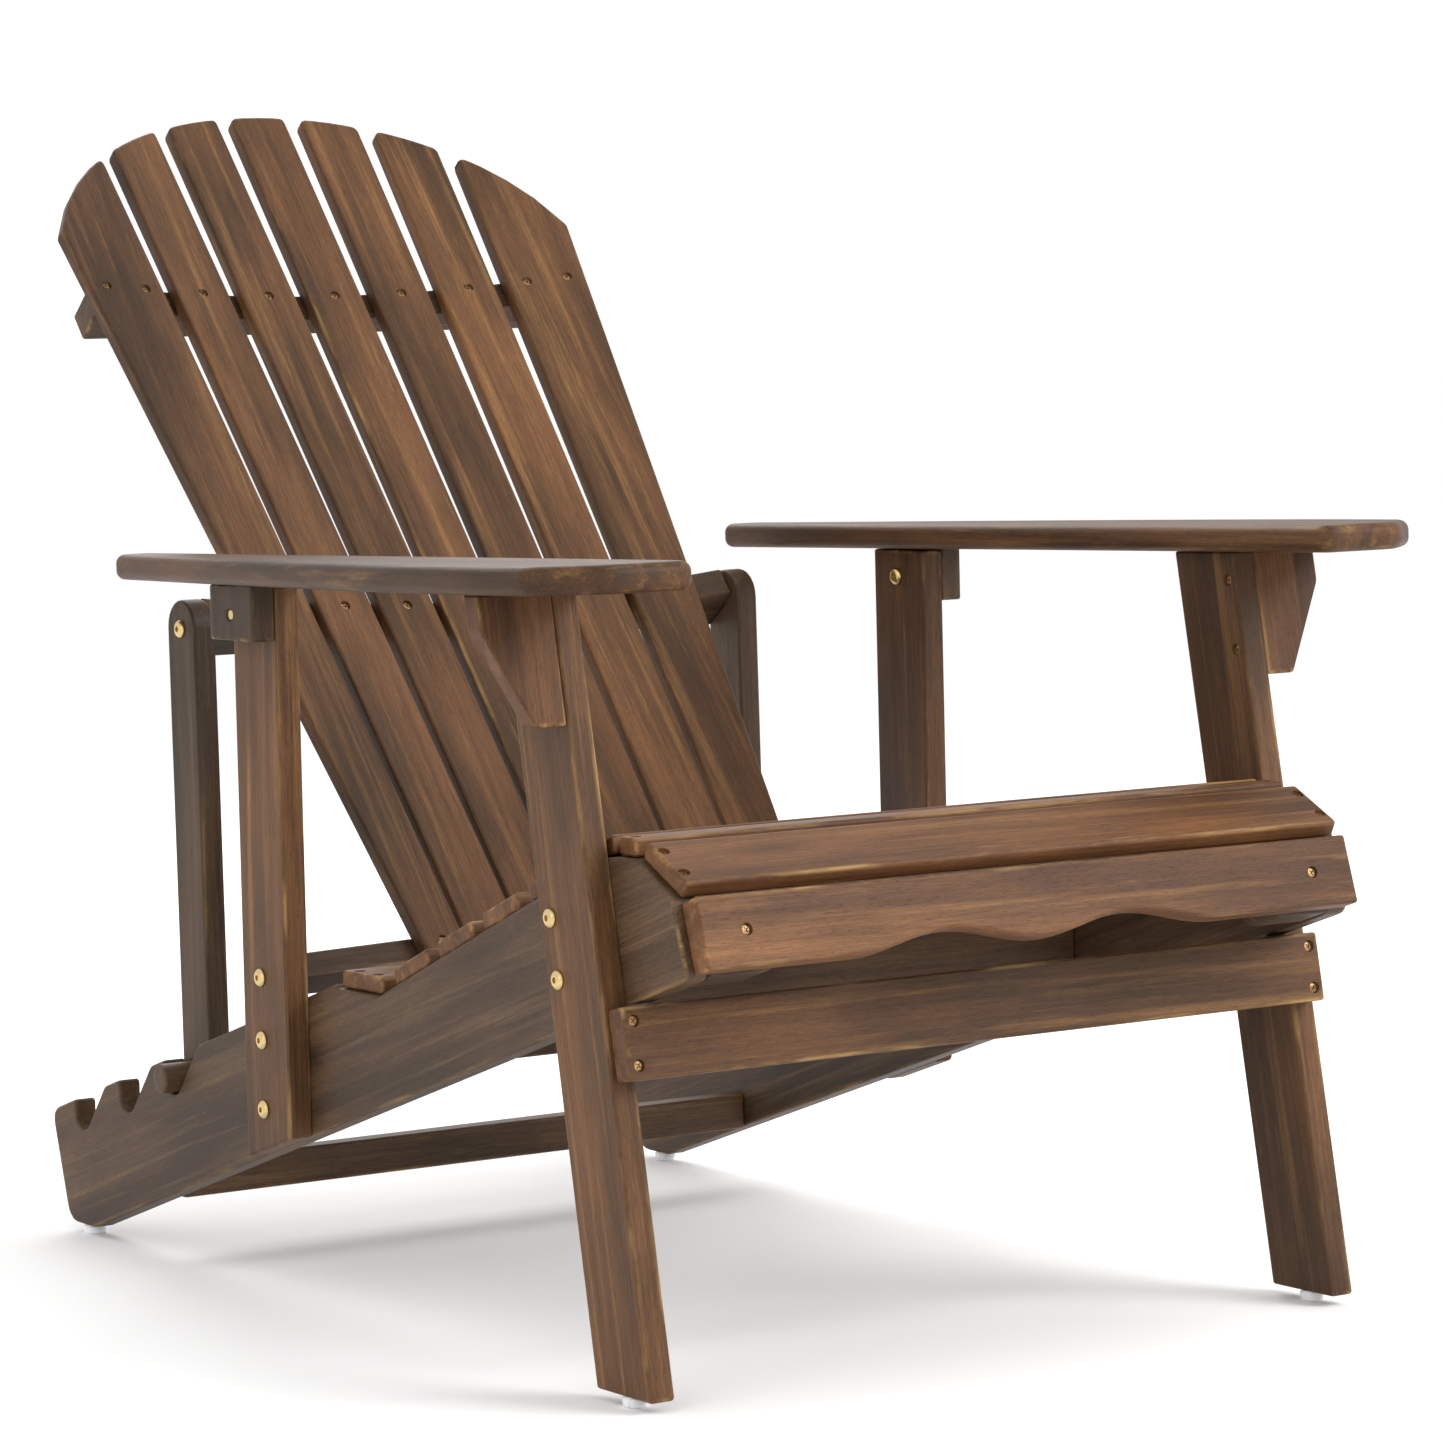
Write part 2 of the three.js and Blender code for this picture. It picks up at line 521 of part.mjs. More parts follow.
// A cross rail whose hollow front has one flat for each slat. An end past the slats has a shoulder.
function crossRail(name, at, thickness, half, rearFace, endFace) {
  const flats = [-3, -2, -1, 0, 1, 2, 3].flatMap((index) => {
    const { side, inner, outer, rearFace: slatRear } = backSlatLayout(index);
    const edges = [side * inner(at), side * Math.min(outer(at), half)].sort((a, b) => a - b);
    return edges.map((x) => [x, GAP - slatRear(x, at)]);
  });
  const face = -(endFace ?? BACK_FACE - BACK_SLAT_THICKNESS + curveRise(half));
  const shoulder = (x) => (half > backOuterEdge(at) ? [[x, face]] : []);
  const rear = [[half, rearFace], [-half, rearFace]];
  const shape = outline([...shoulder(-half), ...flats, ...shoulder(half), ...rear]);
  return board(name, greyWood(), shape, thickness, [0, 0, at - thickness / 2], X, Y);
}

const strutInner = railInner - STRUT_CLEARANCE - BOARD;
const middleRailHalf = strutInner - 2 * GAP;
const lowerRailHalf = legInner - 2 * GAP;
const boltDepth = 40;
const boreBothEnds = (mesh, half, y, z) => cut(mesh, [-1, 1].map((side) => {
  const { x: ox, y: oy, z: oz } = mesh.position;
  return rod(BOLT_HOLE_RADIUS, boltDepth * 2, [side * half - ox, y - oy, z - oz], 12);
}));

for (let index = -3; index <= 3; index += 1) back.add(backSlat(index));
back.add(
  crossRail('back_upper_rail', UPPER_RAIL_AT, CROSS_RAIL_THICKNESS, UPPER_RAIL_HALF, CROSS_RAIL_BACK),
  boreBothEnds(crossRail('back_middle_rail', MIDDLE_RAIL_AT, CROSS_RAIL_THICKNESS, middleRailHalf,
    CROSS_RAIL_BACK), middleRailHalf, -PROP_PIVOT_FACE, PROP_PIVOT_AT),
  boreBothEnds(crossRail('back_lower_rail', 0, LOWER_RAIL_THICKNESS, lowerRailHalf,
    LOWER_RAIL_BACK, LOWER_RAIL_END_FACE), lowerRailHalf, 0, 0),
);

// ---- Prop: two struts and the dowel that drops into the notches ----
const propPivotY = pivotY + PROP_PIVOT_AT * Math.sin(RECLINE) - PROP_PIVOT_FACE * Math.cos(RECLINE);
const propPivotZ = pivotZ + PROP_PIVOT_AT * Math.cos(RECLINE) + PROP_PIVOT_FACE * Math.sin(RECLINE);
const propReach = Math.hypot(propPivotY - NOTCH_FIRST_Y, propPivotZ - NOTCH_FIRST_Z);
const prop = new THREE.Group();
prop.position.set(0, propPivotY, propPivotZ);
prop.rotation.x = -Math.atan2(propPivotY - NOTCH_FIRST_Y, propPivotZ - NOTCH_FIRST_Z);
chair.add(prop);

const strutEnd = STRUT_WIDTH / 2;
const strutShape = pathOf([
  ...arcPoints([0, 0], strutEnd, 0, Math.PI, 12),
  ...arcPoints([0, -propReach], strutEnd, Math.PI, 2 * Math.PI, 12),
], new THREE.Shape());
strutShape.holes = [
  roundHole([0, 0, BOLT_HOLE_RADIUS]),
  roundHole([0, -propReach, DOWEL_RADIUS + DOWEL_CLEARANCE], 24),
];
for (const [name, side] of sides) {
  prop.add(sideBoard(`${name}_prop_strut`, greyWood(), side, strutShape, strutInner));
}
const dowel = new THREE.Mesh(
  rod(DOWEL_RADIUS, 2 * (legInner + DOWEL_END), [0, 0, -propReach], 24), greyWood());
dowel.name = 'prop_dowel';
prop.add(dowel);

// ---- Bolts: heads outside, except those through the posts into the armrest blocks ----
const strutOuter = strutInner + BOARD;
for (const [name, side] of sides) {
  const through = 2 * BOARD - 1;
  legBolts.forEach(([y, z], i) => chair.add(
    bolt(`${name}_leg_bolt_${i + 1}`, [side * legOuter, y, z], side, through)));
  postBolts.forEach(([y, z], i) => chair.add(
    bolt(`${name}_post_bolt_${i + 1}`, [side * legOuter, y, z], side, through)));
  chair.add(
    bolt(`${name}_back_pivot_bolt`, [side * legOuter, pivotY, pivotZ], side, BOARD + boltDepth - 3),
    bolt(`${name}_arm_block_bolt`, [side * legInner, ...blockBolt], -side, through),
  );
  prop.add(bolt(`${name}_prop_pivot_bolt`, [side * strutOuter, 0, 0], side, BOARD + boltDepth - 3));
}

// The origin lies on the floor, under the middle of the chair's outer box.
const box = new THREE.Box3().setFromObject(chair, true);
chair.position.y = -(box.min.y + box.max.y) / 2;

export default chair;
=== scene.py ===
import json
import math
import random

import bmesh
import bpy
import numpy as np
from mathutils import Matrix, Vector


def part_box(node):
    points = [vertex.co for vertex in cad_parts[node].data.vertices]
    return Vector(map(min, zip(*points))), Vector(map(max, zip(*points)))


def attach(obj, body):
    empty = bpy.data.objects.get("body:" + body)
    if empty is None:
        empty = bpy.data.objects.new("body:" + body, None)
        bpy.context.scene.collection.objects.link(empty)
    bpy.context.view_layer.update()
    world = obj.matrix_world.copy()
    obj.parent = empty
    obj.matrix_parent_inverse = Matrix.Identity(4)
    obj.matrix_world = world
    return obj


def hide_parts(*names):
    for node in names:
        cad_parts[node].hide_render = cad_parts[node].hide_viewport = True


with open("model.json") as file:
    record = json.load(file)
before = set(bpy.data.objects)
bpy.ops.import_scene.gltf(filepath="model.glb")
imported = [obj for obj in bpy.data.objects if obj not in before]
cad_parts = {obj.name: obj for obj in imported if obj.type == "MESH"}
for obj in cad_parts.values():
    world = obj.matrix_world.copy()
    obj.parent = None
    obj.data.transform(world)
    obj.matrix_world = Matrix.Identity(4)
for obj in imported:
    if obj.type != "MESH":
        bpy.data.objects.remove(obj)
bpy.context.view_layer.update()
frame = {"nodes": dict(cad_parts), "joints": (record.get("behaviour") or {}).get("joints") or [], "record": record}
draw = random.Random(7)
nodes = frame["nodes"]
joints = {joint["name"]: joint for joint in frame["joints"]}
body_of = {node: body for body, members in frame["record"]["behaviour"]["bodies"].items() for node in members}
slot_of = {part["node"]: part["material_slot"] for part in frame["record"]["subparts"]}

MM = 0.001

# How far the boards lean in the row frame.
RECLINE = math.radians(40.1)      # of the back, from upright
LEG_RAKE = math.radians(10.64)
APRON_TILT = math.radians(17.5)
ARM_TILT = -math.atan(0.02)
SEAT_PITCH = math.radians(21.55)
THIRD_SLAT_PITCH = math.radians(18.2)
NOSE_PITCH = math.radians(26.4)

# Layout of the back slats, as in the CAD; distances along the back are from its pivot.
SLAT_FOOT = -38.8 * MM
SLAT_LENGTH = 943 * MM
PITCH_FOOT = 56 * MM
PITCH_SPREAD = 14 * MM            # added over the slat's length
SLAT_HALF_WIDTH = 26.9 * MM
EDGE_FOOT = 183.5 * MM            # outer edge of the outermost slats
EDGE_SPREAD = 0.091
TOP_SCREW_INSET = 0.24            # share of an outermost slat's width

# Screws, and the wells that they sit in.
SCREW_RADIUS = 4.2 * MM
SUNK = 2.3 * MM
WELL = 5.6 * MM
WELL_PLAY = 0.35 * MM
SEAT_SCREW_X = 287.5 * MM
SEAT_SCREW_HALF = 14.5 * MM       # half the distance between the two screws of a slat end
RAIL_SCREW_X = 307 * MM
RAIL_SCREW_HALF = 16 * MM
APRON_SCREW_X = 255 * MM
CORBEL_SCREWS = [(113.5 * MM, 557 * MM), (104.5 * MM, 503 * MM)]   # behind the leg's foot, and height
RAY_START = 0.2                   # metres out from the board

BOLT_SHANK = 4 * MM
BOLT_RISE = 3.4 * MM              # of the head
BOLT_SOCKET = 2.6 * MM
DOWEL_EASE = 2 * MM


# ---- Node helpers ----
class Tree:
    """Short calls that add shader nodes to a material and link them."""

    def __init__(self, material):
        material.use_nodes = True
        self.tree = material.node_tree
        self.shader = self.tree.nodes["Principled BSDF"]

    def add(self, kind, inputs=(), **settings):
        node = self.tree.nodes.new(kind)
        for key, value in settings.items():
            setattr(node, key, value)
        for key, value in dict(inputs).items():
            if isinstance(value, bpy.types.NodeSocket):
                self.tree.links.new(value, node.inputs[key])
            else:
                node.inputs[key].default_value = value
        return node

    def maths(self, operation, a, b=0.0, c=0.0, clamp=False):
        return self.add("ShaderNodeMath", {0: a, 1: b, 2: c}, operation=operation, use_clamp=clamp).outputs[0]

    def noise(self, vector, scale, detail=4.0, roughness=0.55, distortion=0.0):
        inputs = {"Vector": vector, "Scale": scale, "Detail": detail, "Roughness": roughness,
                  "Distortion": distortion}
        return self.add("ShaderNodeTexNoise", inputs).outputs["Fac"]

    def stretched(self, vector, scale):
        return self.add("ShaderNodeMapping", {"Vector": vector, "Scale": scale}).outputs["Vector"]

    def ramp(self, value, low, high):
        inputs = {"Value": value, "From Min": low, "From Max": high}
        return self.add("ShaderNodeMapRange", inputs, interpolation_type="SMOOTHSTEP").outputs["Result"]

    def mix(self, factor, a, b, blend="MIX"):
        node = self.add("ShaderNodeMix", data_type="RGBA", blend_type=blend)
        for index, value in ((0, factor), (6, a), (7, b)):
            if isinstance(value, bpy.types.NodeSocket):
                self.tree.links.new(value, node.inputs[index])
            else:
                node.inputs[index].default_value = value
        return node.outputs[2]

    def set(self, **values):
        for key, value in values.items():
            socket = self.shader.inputs[key.replace("_", " ")]
            if isinstance(value, bpy.types.NodeSocket):
                self.tree.links.new(value, socket)
            else:
                socket.default_value = value


# ---- Materials ----
def wood(name, dark, mid, light, worn):
    """Stained hardwood. The 'grain' attribute holds the place along, across and through the board in metres,
    moved by a random start. 'place' is the same without the start, and 'half' holds the half sizes."""
    material = bpy.data.materials.new(name)
    t = Tree(material)
    grain = t.add("ShaderNodeAttribute", attribute_name="grain").outputs["Vector"]
    place = t.add("ShaderNodeAttribute", attribute_name="place").outputs["Vector"]
    half = t.add("ShaderNodeAttribute", attribute_name="half").outputs["Vector"]
    tint = t.add("ShaderNodeAttribute", attribute_name="tint").outputs["Fac"]

    # Slow bends of the grain, so that the long lines aren't straight.
    bend = t.noise(t.stretched(grain, (2.2, 9.0, 9.0)), 1.0, 2.0)
    shift = t.add("ShaderNodeCombineXYZ", {"Y": t.maths("MULTIPLY", bend, 0.014)}).outputs[0]
    bent = t.add("ShaderNodeVectorMath", {0: grain, 1: shift}, operation="ADD").outputs[0]

    patches = t.noise(t.stretched(bent, (3.0, 16.0, 16.0)), 1.0, 3.0, 0.6)
    bands = t.noise(t.stretched(bent, (2.5, 85.0, 85.0)), 1.0, 4.0, 0.6)
    streaks = t.noise(t.stretched(bent, (7.0, 420.0, 420.0)), 1.0, 5.0, 0.7)
    fibres = t.noise(t.stretched(bent, (70.0, 1100.0, 1100.0)), 1.0, 4.0, 0.75)
    pores = t.noise(t.stretched(bent, (160.0, 1900.0, 1900.0)), 1.0, 1.0)

    cells = {"Vector": t.stretched(bent, (2.6, 9.0, 9.0)), "Scale": 1.0, "Randomness": 1.0}
    knots = t.add("ShaderNodeTexVoronoi", cells).outputs["Distance"]
    knot = t.maths("SUBTRACT", 1.0, t.ramp(knots, 0.03, 0.17))

    colour = t.mix(t.ramp(patches, 0.3, 0.72), (*dark, 1.0), (*mid, 1.0))
    colour = t.mix(t.maths("MULTIPLY", t.ramp(bands, 0.5, 0.72), 0.55), colour, (*light, 1.0))
    colour = t.mix(t.maths("MULTIPLY", t.ramp(bands, 0.5, 0.28), 0.5), colour, (*dark, 1.0))
    shade = t.maths("ADD", 0.34, t.maths("MULTIPLY", streaks, 1.32))
    shade = t.maths("MULTIPLY", shade, t.maths("ADD", 0.25, t.maths("MULTIPLY", fibres, 1.4)))
    shade = t.maths("MULTIPLY", shade, t.maths("ADD", 0.74, t.maths("MULTIPLY", tint, 0.5)))
    shade = t.maths("MULTIPLY", shade, t.maths("SUBTRACT", 1.0, t.maths("MULTIPLY", knot, 0.62)))
    pored = t.maths("SUBTRACT", 1.0, t.maths("MULTIPLY", t.ramp(pores, 0.62, 0.74), 0.45))
    shade = t.maths("MULTIPLY", shade, pored)
    grey = t.add("ShaderNodeCombineColor", {"Red": shade, "Green": shade, "Blue": shade}).outputs[0]
    colour = t.mix(1.0, colour, grey, "MULTIPLY")

    # Wear: a point is near an edge of the board where it lies close to two pairs of faces at once.
    inset = t.add("ShaderNodeVectorMath", {0: place}, operation="ABSOLUTE").outputs[0]
    inset = t.add("ShaderNodeVectorMath", {0: half, 1: inset}, operation="SUBTRACT").outputs[0]
    x, y, z = t.add("ShaderNodeSeparateXYZ", {"Vector": inset}).outputs
    low, high = t.maths("MINIMUM", x, y), t.maths("MAXIMUM", x, y)
    edge = t.maths("MAXIMUM", low, t.maths("MINIMUM", high, z))
    rim = t.maths("SUBTRACT", 1.0, t.ramp(edge, 0.0002, 0.0042))
    rub = t.ramp(t.noise(t.stretched(grain, (9.0, 60.0, 60.0)), 1.0, 4.0, 0.65), 0.46, 0.72)
    scuffs = t.ramp(t.noise(t.stretched(bent, (5.0, 120.0, 120.0)), 1.0, 6.0, 0.75), 0.61, 0.74)
    wear = t.maths("MAXIMUM", t.maths("MULTIPLY", rim, rub), t.maths("MULTIPLY", scuffs, 0.4))
    wear = t.maths("MULTIPLY", wear, t.maths("ADD", 0.35, t.maths("MULTIPLY", streaks, 0.9)), clamp=True)
    colour = t.mix(wear, colour, (*worn, 1.0))

    rough = t.maths("ADD", 0.4, t.maths("MULTIPLY", streaks, 0.22))
    rough = t.maths("ADD", rough, t.maths("MULTIPLY", wear, 0.1))
    height = t.maths("ADD", t.maths("MULTIPLY", streaks, 0.6), t.maths("MULTIPLY", fibres, 0.4))
    height = t.maths("SUBTRACT", height, t.maths("MULTIPLY", t.ramp(pores, 0.6, 0.75), 0.5))
    bump = t.add("ShaderNodeBump", {"Height": height, "Strength": 0.35, "Distance": 0.0006}).outputs[0]
    t.set(Base_Color=colour, Roughness=rough, Normal=bump)
    t.set(Specular_IOR_Level=0.2, Coat_Weight=0.03, Coat_Roughness=0.35)
    return material


def brass():
    """Yellow zinc plating, with a faint rainbow drift and fine scratches."""
    material = bpy.data.materials.new("yellow_brass")
    t = Tree(material)
    place = t.add("ShaderNodeTexCoord").outputs["Object"]
    drift = t.noise(place, 160.0, 3.0)
    scratch = t.noise(t.stretched(place, (900.0, 2600.0, 900.0)), 1.0, 3.0)
    colour = t.mix(t.ramp(drift, 0.35, 0.65), (0.60, 0.49, 0.24, 1.0), (0.72, 0.50, 0.22, 1.0))
    rough = t.maths("ADD", 0.18, t.maths("MULTIPLY", scratch, 0.2))
    bump = t.add("ShaderNodeBump", {"Height": scratch, "Strength": 0.12, "Distance": 0.0002}).outputs[0]
    t.set(Base_Color=colour, Roughness=rough, Normal=bump, Metallic=1.0)
    return material


def tarnished_brass_with_painted_shade():
    """Screw heads with patchy tarnish; the dark brass colour is also painted shade for the wells that they sit in.
    """
    material = bpy.data.materials.new("brass_tarnish_and_painted_shade")
    t = Tree(material)
    place = t.add("ShaderNodeTexCoord").outputs["Object"]
    tarnish_and_shade = t.noise(place, 420.0, 4.0, 0.65)
    # The dark end of this mix is painted shade for the screw wells, mixed with real patchy tarnish.
    colour = t.mix(t.ramp(tarnish_and_shade, 0.35, 0.65), (0.20, 0.115, 0.055, 1.0), (0.52, 0.33, 0.15, 1.0))
    rough = t.maths("ADD", 0.3, t.maths("MULTIPLY", tarnish_and_shade, 0.3))
    bump = t.add("ShaderNodeBump", {"Height": tarnish_and_shade, "Strength": 0.2, "Distance": 0.0002}).outputs[0]
    t.set(Base_Color=colour, Roughness=rough, Normal=bump, Metallic=0.9)
    return material


def plastic():
    """White moulded glide with a fine matt skin and floor scuffs."""
    material = bpy.data.materials.new("white_plastic")
    t = Tree(material)
    place = t.add("ShaderNodeTexCoord").outputs["Object"]
    skin = t.noise(place, 1800.0, 2.0)
    scuff = t.ramp(t.noise(place, 260.0, 5.0, 0.7), 0.52, 0.7)
    colour = t.mix(scuff, (0.83, 0.84, 0.85, 1.0), (0.68, 0.67, 0.65, 1.0))
    rough = t.maths("ADD", 0.38, t.maths("MULTIPLY", scuff, 0.25))
    bump = t.add("ShaderNodeBump", {"Height": skin, "Strength": 0.15, "Distance": 0.0002}).outputs[0]
    t.set(Base_Color=colour, Roughness=rough, Normal=bump)
    return material


FINISH = {
    "brown_wood": wood("brown_wood", (0.052, 0.025, 0.010), (0.140, 0.062, 0.024),
                       (0.240, 0.120, 0.042), (0.43, 0.26, 0.095)),
    "red_brown_wood": wood("red_brown_wood", (0.074, 0.031, 0.012), (0.188, 0.080, 0.029),
                           (0.275, 0.130, 0.045), (0.43, 0.26, 0.095)),
    "grey_brown_wood": wood("grey_brown_wood", (0.044, 0.026, 0.015), (0.104, 0.058, 0.029),
                            (0.165, 0.100, 0.048), (0.35, 0.225, 0.085)),
    "brass_hardware": brass(),
    "screw": tarnished_brass_with_painted_shade(),
    "white_plastic": plastic(),
}


# ---- Boards ----
def board_axes(node):
    """Length, width and thickness directions of a board in the row frame."""
    x, y, z = (1, 0, 0), (0, 1, 0), (0, 0, 1)

    def leaning(angle, *directions):
        return [Matrix.Rotation(angle, 3, "X") @ Vector(direction) for direction in directions]

    if node.startswith("back_slat"):
        return leaning(-RECLINE, z, x, y)
    if node.startswith("back_"):
        return leaning(-RECLINE, x, z, y)
    if "side_rail" in node:
        return leaning(-APRON_TILT, y, z, x)
    if "front_leg" in node or "corbel" in node:
        return leaning(-LEG_RAKE, z, y, x)
    if "post" in node or "strut" in node or "arm_block" in node:
        return leaning(0, z, y, x)
    if "armrest" in node:
        return leaning(ARM_TILT, y, x, z)
    tilts = {"front_rail": -LEG_RAKE, "front_apron": -APRON_TILT, "left_apron_block": -APRON_TILT,
             "right_apron_block": -APRON_TILT, "seat_slat_1": NOSE_PITCH, "seat_slat_3": -THIRD_SLAT_PITCH}
    tilts.update({f"seat_slat_{number}": -SEAT_PITCH for number in (4, 5, 6, 7)})
    return leaning(tilts.get(node, 0), x, y, z)


def set_vectors(mesh, name, values):
    attribute = mesh.attributes.new(name, "FLOAT_VECTOR", "POINT")
    attribute.data.foreach_set("vector", np.ascontiguousarray(values, np.float32).ravel())


def write_grain(piece, axes):
    """Stores the board's own coordinates, its half sizes and its tint on the mesh."""
    mesh = piece.data
    co = np.array([v.co for v in mesh.vertices], float).reshape(-1, 3)
    own = co @ np.array([list(axis) for axis in axes]).T
    middle = (own.max(0) + own.min(0)) / 2
    half = (own.max(0) - own.min(0)) / 2
    start = np.array([draw.uniform(0, 40), draw.uniform(0, 40), draw.uniform(0, 40)])
    set_vectors(mesh, "grain", own - middle + start)
    set_vectors(mesh, "place", own - middle)
    set_vectors(mesh, "half", np.tile(half, (len(co), 1)))
    tint = mesh.attributes.new("tint", "FLOAT", "POINT")
    tint.data.foreach_set("value", np.full(len(co), draw.random(), np.float32))


def applied(piece):
    """Replaces the object's mesh by the result of its modifiers."""
    result = bpy.data.meshes.new_from_object(piece.evaluated_get(bpy.context.evaluated_depsgraph_get()))
    piece.modifiers.clear()
    piece.data = result
    return piece


def new_object(name, mesh):
    piece = bpy.data.objects.new(name, mesh)
    bpy.context.scene.collection.objects.link(piece)
    return piece


def smooth(mesh, angle=math.radians(40)):
    mesh.shade_smooth()
    mesh.set_sharp_from_angle(angle=angle)


def flatten_faces(piece):
    """Lets the large faces set the normals, so that flat boards shade flat up to their rounded edges."""
    weighted = piece.modifiers.new("flat", "WEIGHTED_NORMAL")
    weighted.keep_sharp = True
    weighted.weight = 90
    applied(piece)


def round_over(node):
    """Edge radius of a board, in metres: armrests are rounded most."""
    if "armrest" in node:
        return 7.5 * MM
    if node.startswith(("seat_slat", "back_slat")):
        return 3.2 * MM
    return 2.4 * MM


def make_board(node):
    """A copy of the CAD board with its triangles joined into faces and its edges rounded."""
    bm = bmesh.new()
    bm.from_mesh(nodes[node].data)
    bmesh.ops.remove_doubles(bm, verts=bm.verts, dist=1e-6)
    bmesh.ops.dissolve_limit(bm, angle_limit=math.radians(0.6), verts=bm.verts, edges=bm.edges)
    mesh = bpy.data.meshes.new(node + "_board")
    bm.to_mesh(mesh)
    bm.free()
    piece = new_object(node + "_board", mesh)
    bevel = piece.modifiers.new("round", "BEVEL")
    bevel.width = round_over(node)
    bevel.segments = 5 if "armrest" in node else 3
    bevel.limit_method = "ANGLE"
    bevel.angle_limit = math.radians(38)
    bevel.use_clamp_overlap = False
    return applied(piece)


# ---- Screws: places on each board, as (point on the face, outward direction) ----
pivot = Vector(joints["back_fold"]["pos_m"])
up_back = Vector((0, math.sin(RECLINE), math.cos(RECLINE)))
out_back = Vector((0, -math.cos(RECLINE), math.sin(RECLINE)))


def side_of(node):
    """1 for a piece on the sitter's +X side, -1 for the other."""
    return 1 if node.startswith("right") else -1


def box_centre(node):
    low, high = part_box(node)
    return (low + high) / 2


def on_face(node, point, direction):
    """The point where a ray towards the board, against the given direction, meets its CAD face."""
    hit, place, normal, _ = nodes[node].ray_cast(point + direction * RAY_START, -direction)
    return (place, normal) if hit else None


def slat_rows(node):
    """Screws of one back slat at the three cross rails: two at the top of the outermost slats, else one."""
    number = int(node[-1]) - 4
    found = []
    for rail in ("back_upper_rail", "back_middle_rail", "back_lower_rail"):
        along = (box_centre(rail) - pivot).dot(up_back)
        pitch = PITCH_FOOT + PITCH_SPREAD * (along - SLAT_FOOT) / SLAT_LENGTH
        xs = [number * pitch]
        if abs(number) == 3:
            inner = 3 * pitch - SLAT_HALF_WIDTH
            outer = EDGE_FOOT + EDGE_SPREAD * (along - SLAT_FOOT)
            inset = (outer - inner) * TOP_SCREW_INSET
            xs = [inner + inset, outer - inset] if rail == "back_upper_rail" else [(inner + outer) / 2]
            xs = [math.copysign(x, number) for x in xs]
        found += [on_face(node, pivot + up_back * along + Vector((x, 0, 0)), out_back) for x in xs]
    return found


def screw_places(node):
    if node.startswith("back_slat"):
        return slat_rows(node)
    centre = box_centre(node)
    length, width, normal = board_axes(node)
    if node.startswith("seat_slat"):
        reach = [0.0] if node == "seat_slat_2" else [-SEAT_SCREW_HALF, SEAT_SCREW_HALF]
        return [on_face(node, centre + length * side * SEAT_SCREW_X + width * across, normal)
                for side in (-1, 1) for across in reach]
    if node == "front_rail":
        out = Vector((0, -math.cos(LEG_RAKE), math.sin(LEG_RAKE)))
        rise = Vector((0, math.sin(LEG_RAKE), math.cos(LEG_RAKE)))
        return [on_face(node, centre + length * side * RAIL_SCREW_X + rise * up, out)
                for side in (-1, 1) for up in (-RAIL_SCREW_HALF, RAIL_SCREW_HALF)]
    if node == "front_apron":
        out = Vector((0, -math.cos(APRON_TILT), math.sin(APRON_TILT)))
        return [on_face(node, centre + length * side * APRON_SCREW_X, out) for side in (-1, 1)]
    if node.endswith("front_leg"):
        foot_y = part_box(node)[0].y
        inward = Vector((-side_of(node), 0, 0))
        return [on_face(node, Vector((centre.x, foot_y + y, z)), inward) for y, z in CORBEL_SCREWS]
    return []


def turned_to(direction):
    return Vector((0, 0, 1)).rotation_difference(direction).to_matrix().to_4x4()


def lathe(profile, segments=32):
    """A closed solid of revolution about Z, from (radius, height) points that start and end on the axis."""
    bm = bmesh.new()
    rings = []
    for radius, height in profile:
        if radius == 0:
            rings.append([bm.verts.new((0, 0, height))])
            continue
        turn = [2 * math.pi * i / segments for i in range(segments)]
        rings.append([bm.verts.new((radius * math.cos(a), radius * math.sin(a), height)) for a in turn])
    for lower, upper in zip(rings, rings[1:]):
        for i in range(segments):
            j = (i + 1) % segments
            corners = [lower[i % len(lower)], lower[j % len(lower)],
                       upper[j % len(upper)], upper[i % len(upper)]]
            bm.faces.new(list(dict.fromkeys(corners)))
    bmesh.ops.recalc_face_normals(bm, faces=bm.faces)
    return bm


def as_mesh(bm, name):
    mesh = bpy.data.meshes.new(name)
    bm.to_mesh(mesh)
    bm.free()
    return mesh


def cut(piece, cutter):
    """Takes the cutter object's solid out of the piece, then deletes the cutter."""
    modifier = piece.modifiers.new("cut", "BOOLEAN")
    modifier.operation = "DIFFERENCE"
    modifier.solver = "EXACT"
    modifier.object = cutter
    applied(piece)
    bpy.data.objects.remove(cutter)
    return piece


def screw_mesh():
    """Countersunk head with a cross recess, its rim at height 0."""
    r = SCREW_RADIUS
    profile = [(0, -3.2 * MM), (1.8 * MM, -3.2 * MM), (r, -0.9 * MM), (r, -0.25 * MM), (r * 0.93, 0),
               (r * 0.5, 0.22 * MM), (0, 0.3 * MM)]
    head = new_object("screw", as_mesh(lathe(profile), "screw"))
    bm = bmesh.new()
    for angle in (0, math.pi / 2):
        place = Matrix.Rotation(angle + 0.4, 4, "Z") @ Matrix.Translation((0, 0, 0.1 * MM))
        bmesh.ops.create_cube(bm, size=1, matrix=place @ Matrix.Diagonal((4.6 * MM, 1.05 * MM, 2.6 * MM, 1)))
    cross = new_object("cross", as_mesh(bm, "cross"))
    union = cross.modifiers.new("join", "REMESH")
    union.mode, union.voxel_size = "VOXEL", 0.16 * MM
    applied(cross)
    return cut(head, cross)


def joined(name, mesh, places):
    """One mesh that holds a copy of the given mesh at each place."""
    bm = bmesh.new()
    for place in places:
        start = len(bm.verts)
        bm.from_mesh(mesh)
        bm.verts.ensure_lookup_table()
        bmesh.ops.transform(bm, matrix=place, verts=bm.verts[start:])
    return new_object(name, as_mesh(bm, name))


def finish(piece, node, slot=None, surface=None):
    """Gives the piece its surface and puts it on the body of its CAD node."""
    slot = slot or slot_of[node]
    piece.data.materials.clear()
    piece.data.materials.append(surface or FINISH[slot])
    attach(piece, body_of[node])
    return piece


